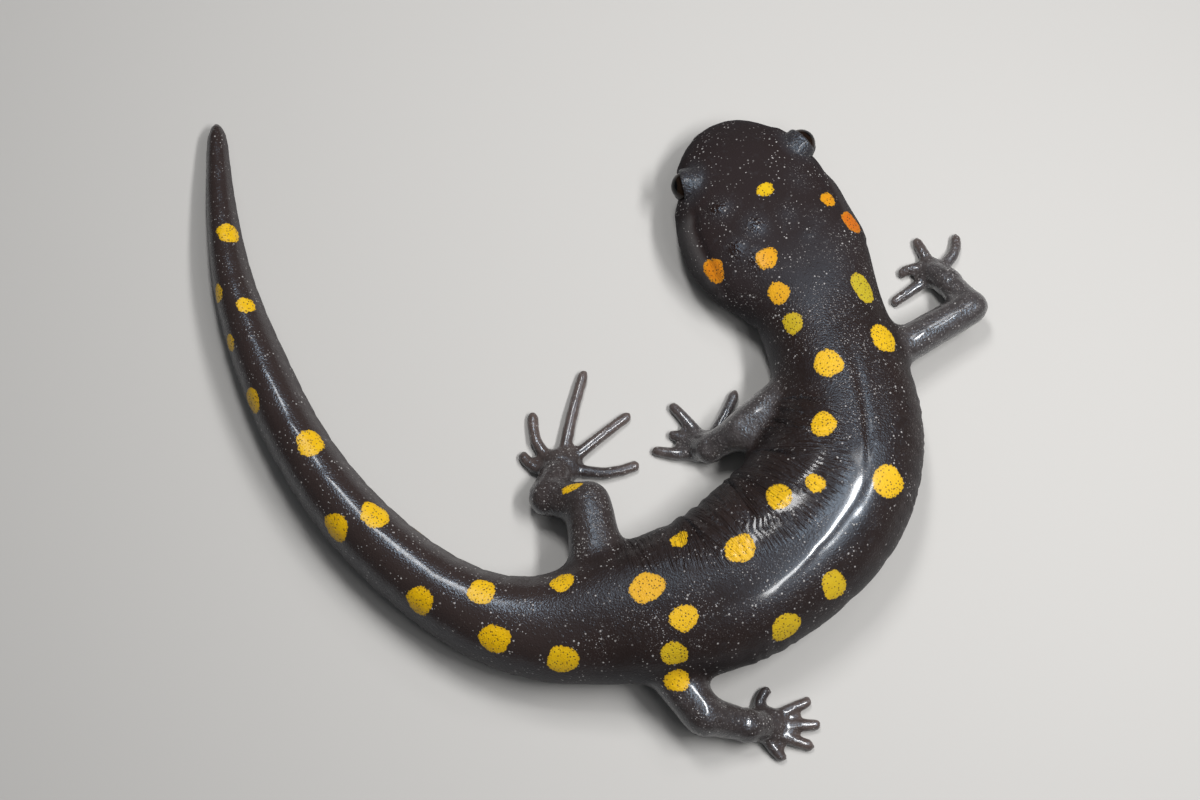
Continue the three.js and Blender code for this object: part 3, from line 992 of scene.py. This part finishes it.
# The legs' smaller share of slate grey keeps them darker than the arms: painted shade.
grey_share = (under * 0.85 + limb * 0.75 + (mottle - 0.5) * 0.3 * (under + limb)).between(0.05, 1.0)
back = (tail * 0.75).blend(back, (0.032, 0.0225, 0.0205, 1))
ground = grey_share.blend(back, slate)
ground = (lid_share * 0.8).blend(ground, (0.028, 0.027, 0.030, 1))
ground = (strip * 0.8).blend(ground, (0.052, 0.046, 0.044, 1))
toe_tone = mottle.blend((0.052, 0.037, 0.033, 1), (0.14, 0.106, 0.093, 1))
ground = (toe * 0.8).blend(ground, toe_tone)
# Pale flecks, partly the skin's own and partly painted glints. The finest dots are painted glints alone,
# laid where the lamps glint: beside the spine, on the neck, the limbs, the glands and the lids.
tiny = 1 - cells(where, 0.50).between(0.10, 0.20)
small = 1 - cells(where, 0.95).between(0.08, 0.17)
painted_glints = 1 - cells(where, 0.31).between(0.12, 0.26)
flecks_and_glints = tiny * patchy.between(0.42, 0.66) + small * patchy.between(0.35, 0.6)
flecks_and_glints = flecks_and_glints + painted_glints * clouds.between(0.35, 0.6) * (0.7 * sheen + 0.4 * matt + 0.6 * limb)
flecks_and_glints = flecks_and_glints + painted_glints * (1.1 * pored * face_share + 0.35 * lid_share)
flecks_and_glints = flecks_and_glints.sum("MINIMUM", flecks_and_glints, 1.0)
ground = (flecks_and_glints * 0.8).blend(ground, (0.40, 0.38, 0.37, 1))

yellow = mottle.blend((0.58, 0.32, 0.001, 1), (0.69, 0.43, 0.002, 1))
yellow = spot_colour_and_shade.between(0.0, 1.0).blend(yellow, (0.48, 0.11, 0.001, 1))
# Olive below zero: a dull crown spot, and painted shade on the spots down the sides.
yellow = (spot_colour_and_shade * -1).between(0.0, 1.0).blend(yellow, (0.27, 0.27, 0.012, 1))
rim = 1 - (spot + ragged).between(0.0, 0.5)
yellow = (rim * 0.35).blend(yellow, (0.36, 0.21, 0.005, 1))
pore_dots = 1 - cells(where, 0.37).between(0.19, 0.34)
yellow = (pore_dots * 0.85).blend(yellow, (0.07, 0.035, 0.006, 1))
feed(hide_shader, "Base Color", yellow_part.blend(ground, yellow))
print("colours wired")

# %% Gloss
beads_gloss = pored * face_share + lid_share
dull = 0.38 + 0.10 * mottle + 0.12 * steep + 0.46 * face_share - 0.62 * beads_gloss
dull = dull - 0.12 * limb + 0.12 * yellow_part - 0.09 * sheen - 0.15 * tail * (1 - steep)
feed(hide_shader, "Roughness", dull.sum("MAXIMUM", dull, 0.23 - 0.07 * lid_share))
broken = crease * (0.10 + 0.30 * patchy.between(0.50, 0.62))
wet = 0.42 + 0.3 * (mottle - 0.5) + 0.55 * polish - broken - 0.6 * steep - 0.54 * face_share - 0.42 * matt
wet = wet - 0.22 * tail + 0.72 * lid_share - 0.2 * pored * face_share
wet = wet + 0.2 * limb * (1 - matt) - 0.15 * toe - 0.25 * yellow_part
feed(hide_shader, "Coat Weight", wet)
hide_shader.inputs["Coat Roughness"].default_value = 0.13
hide_shader.inputs["Coat IOR"].default_value = 1.6
hide_shader.inputs["IOR"].default_value = 1.41
hide_shader.inputs["Specular Tint"].default_value = (0.60, 0.79, 1.0, 1)
print("gloss wired")

# %% Grain
on_hide = start.node("ShaderNodeCombineXYZ", sockets={"X": along * 2.6, "Y": fact("girth") * 0.26})
wrinkle_lie = {"Vector": on_hide, "Scale": 1.0, "Detail": 2.0}
wrinkles = start.node("ShaderNodeTexNoise", {"noise_dimensions": "2D"}, wrinkle_lie, out="Fac")
grain = cells(where, 0.22, "SMOOTH_F1")
pebbles = cells(where, 0.34, "SMOOTH_F1")
pits = 1 - cells(where, 0.75).between(0.05, 0.20)
coarse = 0.08 * limb + 0.03 * under + 0.16 * pored * face_share + 0.13 * lid_share
beads = 1 - cells(where, 0.45).between(0.06, 0.30)
height = grain * (0.034 - 0.030 * polish) + pebbles * coarse + speckle * (0.022 - 0.016 * polish)
height = height + beads * (0.026 - 0.022 * polish) + flecks_and_glints * 0.03 - pits * (0.02 + 0.05 * pored)
height = height + wrinkles * (0.40 * crease) - yellow_part * pore_dots * 0.02
bump = start.node("ShaderNodeBump", {}, {"Height": height, "Distance": MM, "Strength": 1.0})
feed(hide_shader, "Normal", bump)
print("grain wired")

# %% Dress the skin
melted.materials.clear()
melted.materials.append(hide)
melted.polygons.foreach_set("use_smooth", [True] * len(melted.polygons))
skin.name = "hide"
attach(skin, "root")
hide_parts(*FLESH_NODES)
print("hide:", sum(len(f.vertices) - 2 for f in melted.polygons), "triangles")

# %% [markdown]
# ## The eyes
#
# Each eye is a whole ball, deep in its socket, with a slightly steeper clear cap over the pupil. Spinning
# half a profile round the line of sight gives a round ball with even rings, and puts the pupil and iris
# exactly on that line. The colour follows the angle from the line of sight, stored on each ring. The ball
# mirrors a little less than water would, so that its rim stays dark over the pale floor.

# %% Colour the eye
eye_material, eye_shader, start = start_material("eye_gloss")
sight = fact("off_sight")
in_ball = start.node("ShaderNodeTexCoord", out="Object")
fibre_lie = {"Vector": in_ball, "Scale": 5200.0, "Detail": 2.0}
fibres = start.node("ShaderNodeTexNoise", {}, fibre_lie, out="Fac")
iris = fibres.blend((0.004, 0.003, 0.0024, 1), (0.018, 0.010, 0.006, 1))
pupil_edge = (sight + (fibres - 0.5) * 2.0).between(31, 33)
ball_edge = sight.between(60, 70)
tone = pupil_edge.blend((0.002, 0.002, 0.0022, 1), iris)
tone = ball_edge.blend(tone, (0.005, 0.005, 0.006, 1))
feed(eye_shader, "Base Color", tone)
feed(eye_shader, "Roughness", 0.05 + 0.06 * ball_edge)
eye_shader.inputs["IOR"].default_value = 1.24
print("eye coloured")

# %% Spin the eyeballs
EYE_RINGS, EYE_AROUND = 28, 48
CAP_RISE, CAP_SPREAD = 0.035, math.radians(36)
for name, eye in EYES.items():
    ball = bmesh.new()
    radius = eye["radius"]
    profile = []
    for i in range(EYE_RINGS + 1):
        tilt = math.pi * i / EYE_RINGS
        swell = 1 + CAP_RISE * math.exp(-((tilt / CAP_SPREAD) ** 2))
        profile.append(ball.verts.new((math.sin(tilt) * radius * swell, 0, math.cos(tilt) * radius * swell)))
    edges_made = [ball.edges.new(pair) for pair in zip(profile, profile[1:])]
    bmesh.ops.spin(
        ball, geom=profile + edges_made, cent=(0, 0, 0), axis=(0, 0, 1),
        angle=math.tau, steps=EYE_AROUND, use_merge=True,
    )
    bmesh.ops.remove_doubles(ball, verts=ball.verts, dist=0.0005)
    bmesh.ops.recalc_face_normals(ball, faces=ball.faces)
    off_sight = ball.verts.layers.float.new("off_sight")
    for v in ball.verts:
        v[off_sight] = math.degrees(v.co.angle(Vector((0, 0, 1)), 0))
    facing = Vector(eye["axis"]).to_track_quat("Z", "Y").to_matrix().to_4x4()
    place = Matrix.Translation(Vector(eye["at"]) * MM) @ facing @ Matrix.Scale(MM, 4)
    bmesh.ops.transform(ball, matrix=place, verts=ball.verts)
    mesh = bpy.data.meshes.new(name + "_ball")
    ball.to_mesh(mesh)
    ball.free()
    mesh.polygons.foreach_set("use_smooth", [True] * len(mesh.polygons))
    mesh.materials.append(eye_material)
    piece = bpy.data.objects.new(name + "_ball", mesh)
    bpy.context.scene.collection.objects.link(piece)
    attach(piece, "root")
    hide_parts(name)
    print(piece.name, len(mesh.polygons), "faces")

# %% [markdown]
# ## Floor and light
#
# A plain pale floor, and soft lamps. A wet dark skin shows its form almost only by what it mirrors, so the
# lamps are chosen as for a black bottle. A broad ceiling lights the whole form and isn't mirrored at all. A
# long narrow lamp to the right of the camera draws the streak along the back. Three weaker lamps round it
# put smaller lights on the rest, so that the head, legs and tail look wet and round as well.

# %% Lay the floor
floor_mesh = bpy.data.meshes.new("floor")
plane = bmesh.new()
bmesh.ops.create_grid(plane, x_segments=1, y_segments=1, size=1.5)
plane.to_mesh(floor_mesh)
plane.free()
floor = bpy.data.objects.new("floor", floor_mesh)
bpy.context.scene.collection.objects.link(floor)
floor_material, floor_shader, _ = start_material("pale_floor")
floor_shader.inputs["Base Color"].default_value = (0.45, 0.44, 0.425, 1)
floor_shader.inputs["Roughness"].default_value = 0.7
floor_mesh.materials.append(floor_material)
print("floor laid")

# %% Hang the lamps
def lamp(name, place, size, power):
    made = aimed("AREA", name, AIM + Vector(place), AIM)
    made.data.shape = "RECTANGLE"
    made.data.size, made.data.size_y = (side * MM for side in size)
    made.data.energy = power
    return made


lamp("flash_right", (131.5, -11, 224.5), (134, 28), 0.60)
lamp("flash_far", (120, 112, 216), (50, 40), 0.05)
lamp("flash_near", (98, -104, 235), (50, 30), 0.07)
lamp("flash_back", (-14, 92, 226), (34, 80), 0.30)
ceiling = lamp("ceiling", (0, 60, 420), (500, 500), 0.22)
ceiling.visible_glossy = False
world = bpy.data.worlds.new("studio")
world.use_nodes = True
world.node_tree.nodes["Background"].inputs["Color"].default_value = (0.86, 0.92, 1.0, 1)
world.node_tree.nodes["Background"].inputs["Strength"].default_value = 0.07
bpy.context.scene.world = world
bpy.context.scene.view_settings.view_transform = "Standard"
print("lamps hung")
